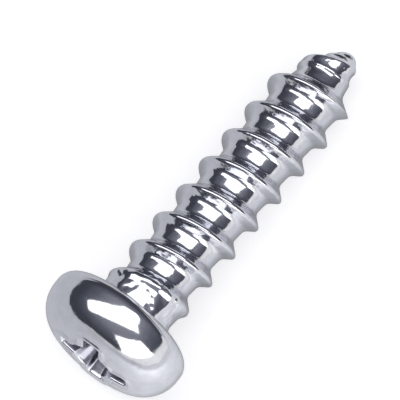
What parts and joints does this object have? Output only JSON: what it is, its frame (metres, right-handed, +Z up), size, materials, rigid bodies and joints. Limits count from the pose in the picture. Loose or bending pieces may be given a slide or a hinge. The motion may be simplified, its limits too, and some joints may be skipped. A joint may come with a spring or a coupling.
{
  "type": "bone screw",
  "caption": "Short coarse-threaded bone screw in one piece: rounded head with a cross recess, plain neck, right-hand thread and a blunt tapered point, lying on its side.",
  "frame": {"origin": "centre of the bounding box in plan, at the height of the surface that the screw lies on", "axes": "+Z up; the screw's axis runs from the head towards +X and falls by about 6.6 degrees to the point"},
  "size_m": [0.0306, 0.0114, 0.0115],
  "materials": {
    "polished_steel": "bare steel, polished to a mirror, not plated"
  },
  "bodies": {
    "root": {"screw": "polished_steel"}
  },
  "joints": []
}
